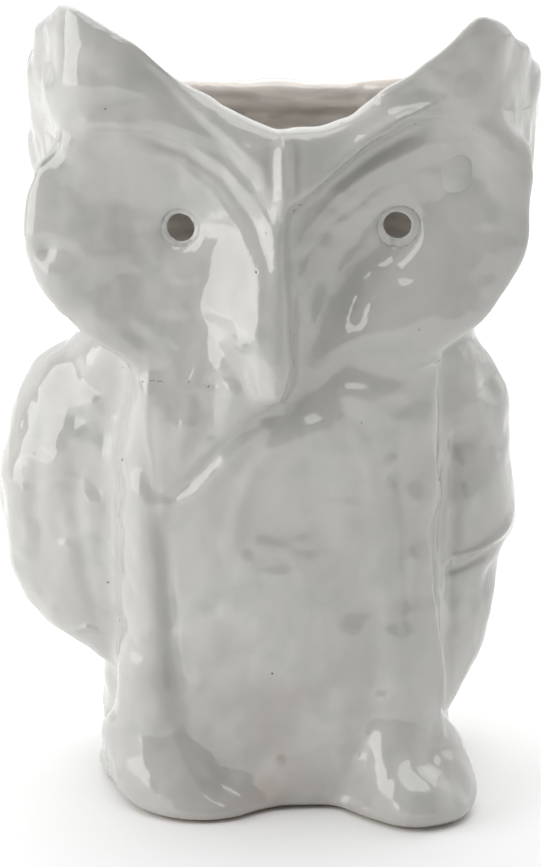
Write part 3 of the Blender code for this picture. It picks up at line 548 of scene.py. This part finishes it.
class Graph:
    """Shader nodes of one material, with short names for the steps that the glaze needs."""

    def __init__(self, material):
        self.nodes, self.links = material.node_tree.nodes, material.node_tree.links
        self.shader = self.nodes["Principled BSDF"]
        coordinates = self.nodes.new("ShaderNodeTexCoord")
        self.place, self.normal = coordinates.outputs["Object"], coordinates.outputs["Normal"]
        split = self.nodes.new("ShaderNodeSeparateXYZ")
        self.links.new(self.place, split.inputs[0])
        self.height = split.outputs["Z"]

    def noise(self, scale, detail=3.0, stretch=(1, 1, 1)):
        """Noise from about 0 to 1, stretched along the axes."""
        moved = self.nodes.new("ShaderNodeMapping")
        moved.inputs["Scale"].default_value = stretch
        self.links.new(self.place, moved.inputs["Vector"])
        texture = self.nodes.new("ShaderNodeTexNoise")
        texture.inputs["Scale"].default_value = scale
        texture.inputs["Detail"].default_value = detail
        self.links.new(moved.outputs["Vector"], texture.inputs["Vector"])
        return texture.outputs["Fac"]

    def ranged(self, value, low, high, out_low=0.0, out_high=1.0):
        """Smooth step from one value at low to another at high."""
        node = self.nodes.new("ShaderNodeMapRange")
        node.interpolation_type = "SMOOTHSTEP"
        node.inputs["From Min"].default_value = low
        node.inputs["From Max"].default_value = high
        node.inputs["To Min"].default_value = out_low
        node.inputs["To Max"].default_value = out_high
        self.links.new(value, node.inputs["Value"])
        return node.outputs["Result"]

    def maths(self, operation, first, second):
        """Maths node on a socket and a socket or number."""
        node = self.nodes.new("ShaderNodeMath")
        node.operation = operation
        for socket, value in zip(node.inputs, (first, second)):
            if isinstance(value, (int, float)):
                socket.default_value = value
            else:
                self.links.new(value, socket)
        return node.outputs[0]

    def times(self, first, second):
        """Product, which joins two masks."""
        return self.maths("MULTIPLY", first, second)

    def vector(self, operation, first, second):
        """Vector maths node on a socket and a socket or three numbers."""
        node = self.nodes.new("ShaderNodeVectorMath")
        node.operation = operation
        self.links.new(first, node.inputs[0])
        if isinstance(second, tuple):
            node.inputs[1].default_value = second
        else:
            self.links.new(second, node.inputs[1])
        return node

    def near(self, point, inner, outer):
        """1 within the inner distance of a point, 0 beyond the outer one."""
        return self.ranged(self.vector("DISTANCE", self.place, point).outputs["Value"], outer, inner)

    def tinted(self, colour, tint, share):
        """Colour moved towards a tint by a share."""
        node = self.nodes.new("ShaderNodeMix")
        node.data_type = "RGBA"
        self.links.new(share, node.inputs["Factor"])
        self.links.new(colour, node.inputs["A"])
        node.inputs["B"].default_value = (*tint, 1)
        return node.outputs["Result"]

    def bump(self, strength, distance, height, below=None, invert=False):
        """Bumped normal, on top of the one below if there is one."""
        node = self.nodes.new("ShaderNodeBump")
        node.invert = invert
        node.inputs["Strength"].default_value = strength
        node.inputs["Distance"].default_value = distance
        self.links.new(height, node.inputs["Height"])
        if below is not None:
            self.links.new(below, node.inputs["Normal"])
        return node.outputs["Normal"]


def outside_colour(graph):
    """Uneven off-white glaze with greenish clouds, and a blush low on the front."""
    ramp = graph.nodes.new("ShaderNodeValToRGB")
    for stop, position, colour in zip(ramp.color_ramp.elements, (0.3, 0.7), (GLAZE_THICK, GLAZE_THIN)):
        stop.position = position
        stop.color = (*colour, 1)
    graph.links.new(graph.noise(22.0, 4.0), ramp.inputs["Fac"])
    clouds = graph.ranged(graph.noise(41.0, 2.0), 0.54, 0.72, 0.0, 0.6)
    colour = graph.tinted(ramp.outputs["Color"], GLAZE_GREEN, clouds)
    patches = graph.ranged(graph.noise(60.0, 4.0), 0.38, 0.68, 0.0, 0.6)
    return graph.tinted(colour, GLAZE_BLUSH, graph.times(graph.near(BLUSH_PLACE, 0.010, 0.058), patches))


def painted_hollow_shade_and_light(graph, colour):
    """Painted shade on the wall and floor of the hollow, in a darker clay tone, and painted light below the
    rim, in warm streaks far paler than the glaze.

    The floor's tint also catches a strip low on the outside, and the wall's a spot under the face.
    """
    plan = graph.vector("MULTIPLY", graph.place, HOLLOW_SQUASH).outputs[0]
    radius = graph.vector("DISTANCE", plan, HOLLOW_CENTRE).outputs["Value"]
    radial = graph.vector("SUBTRACT", plan, HOLLOW_CENTRE).outputs[0]
    facing = graph.vector("DOT_PRODUCT", radial, graph.normal).outputs["Value"]
    wall = graph.times(graph.ranged(facing, *WALL_FACING), graph.ranged(radius, *WALL_RADIUS))
    # painted shade on the hollow's inner wall
    colour = graph.tinted(colour, HOLLOW_PAINTED_SHADE, graph.times(wall, graph.ranged(graph.height, *WALL_TOP)))
    level = graph.times(graph.ranged(graph.height, *FLOOR_BOTTOM), graph.ranged(graph.height, *FLOOR_TOP))
    # painted shade on the hollow's floor
    colour = graph.tinted(colour, HOLLOW_PAINTED_SHADE, graph.times(graph.ranged(radius, *FLOOR_RADIUS), level))
    # painted light on the wall under the rim: warm streaks, far paler than the glaze
    streaks = graph.ranged(graph.noise(30.0, 4.0, (1, 1, 7)), 0.38, 0.62, 0.55, 1.0)
    mouth = graph.times(graph.near(MOUTH_PLACE, 0.045, 0.085), streaks)
    return graph.tinted(colour, MOUTH_PAINTED_LIGHT, graph.times(mouth, wall))


def glaze():
    """Thick glossy off-white glaze: uneven colour, warm where thin, fine waviness and pinholes, with painted
    shade in the pinholes.
    """
    material = bpy.data.materials.new("glaze")
    material.use_nodes = True
    graph = Graph(material)
    shader, links = graph.shader, graph.links

    pores = graph.nodes.new("ShaderNodeTexVoronoi")
    pores.inputs["Scale"].default_value = 70.0
    links.new(graph.place, pores.inputs["Vector"])
    pinhole = graph.ranged(pores.outputs["Distance"], 0.055, 0.03)
    pinhole = graph.times(pinhole, graph.ranged(graph.noise(26.0, 1.0), 0.60, 0.63))
    bare = graph.ranged(graph.height, *BARE_FOOT)
    colour = painted_hollow_shade_and_light(graph, outside_colour(graph))
    # painted shade in the pinholes
    colour = graph.tinted(colour, PINHOLE_PAINTED_SHADE, pinhole)
    colour = graph.tinted(colour, CLAY_BARE, bare)
    links.new(colour, shader.inputs["Base Color"])

    worn = graph.ranged(graph.noise(34.0, 3.0), 0.35, 0.70, 0.04, 0.11)
    links.new(graph.maths("ADD", worn, graph.times(bare, 0.6)), shader.inputs["Roughness"])
    shader.inputs["IOR"].default_value = 1.55
    shader.inputs["Specular IOR Level"].default_value = 0.75

    wavy = graph.bump(0.55, 0.0008, graph.noise(95.0, 1.5))
    drips = graph.bump(0.35, 0.0008, graph.noise(120.0, 1.0, (1, 1, 0.15)), wavy)
    links.new(graph.bump(0.6, 0.0006, pinhole, drips, invert=True), shader.inputs["Normal"])
    return material


# ---------------------------------------------------------------- studio

def room():
    """Soft light from all round, and an even backdrop where the camera sees past the floor."""
    world = bpy.data.worlds.new("studio")
    bpy.context.scene.world = world
    world.use_nodes = True
    nodes, links = world.node_tree.nodes, world.node_tree.links
    background = nodes["Background"]
    place = nodes.new("ShaderNodeTexCoord")
    split = nodes.new("ShaderNodeSeparateXYZ")
    links.new(place.outputs["Generated"], split.inputs[0])
    total = None
    for axis, low, high, dark, bright in ROOM_LIGHT:
        fade = nodes.new("ShaderNodeMapRange")
        fade.interpolation_type = "SMOOTHSTEP"
        fade.inputs["From Min"].default_value = low
        fade.inputs["From Max"].default_value = high
        fade.inputs["To Min"].default_value = dark
        fade.inputs["To Max"].default_value = bright
        links.new(split.outputs[axis], fade.inputs["Value"])
        if total is None:
            total = fade.outputs["Result"]
        else:
            add = nodes.new("ShaderNodeMath")
            links.new(total, add.inputs[0])
            links.new(fade.outputs["Result"], add.inputs[1])
            total = add.outputs[0]
    seen = nodes.new("ShaderNodeLightPath")
    pick = nodes.new("ShaderNodeMix")
    links.new(seen.outputs["Is Camera Ray"], pick.inputs["Factor"])
    links.new(total, pick.inputs["A"])
    pick.inputs["B"].default_value = BACKDROP
    links.new(pick.outputs["Result"], background.inputs["Strength"])
    background.inputs["Color"].default_value = (1, 1, 1, 1)


def paper_floor():
    """Plain pale floor."""
    bpy.ops.mesh.primitive_plane_add(size=FLOOR_SIZE, location=(0, 0, -FLOOR_DROP))
    floor = bpy.context.object
    floor.name = "floor"
    paper = bpy.data.materials.new("paper")
    paper.use_nodes = True
    paper.node_tree.nodes["Principled BSDF"].inputs["Base Color"].default_value = (*PAPER, 1)
    paper.node_tree.nodes["Principled BSDF"].inputs["Roughness"].default_value = 0.9
    floor.data.materials.append(paper)


def softboxes():
    """Soft studio lights."""
    for name, location, target, size_x, size_y, power in SOFTBOXES:
        light = bpy.data.lights.new(name, "AREA")
        light.shape = "RECTANGLE"
        light.size, light.size_y = size_x, size_y
        light.energy = power
        lamp = bpy.data.objects.new(name, light)
        bpy.context.scene.collection.objects.link(lamp)
        lamp.location = location
        lamp.rotation_euler = (Vector(target) - Vector(location)).to_track_quat("-Z", "Y").to_euler()


def camera():
    """Long lens, a little above the owl and looking down at it."""
    lens = bpy.data.cameras.new("camera")
    lens.sensor_fit = "VERTICAL"
    lens.sensor_height = 36
    lens.lens = CAMERA_LENS
    eye = bpy.data.objects.new("camera", lens)
    bpy.context.scene.collection.objects.link(eye)
    eye.location = CAMERA_PLACE
    eye.rotation_euler = (math.radians(90 - CAMERA_DIP), 0, 0)
    bpy.context.scene.camera = eye


build_pieces(glaze())
bpy.context.scene.view_settings.view_transform = "Standard"
room()
paper_floor()
softboxes()
camera()
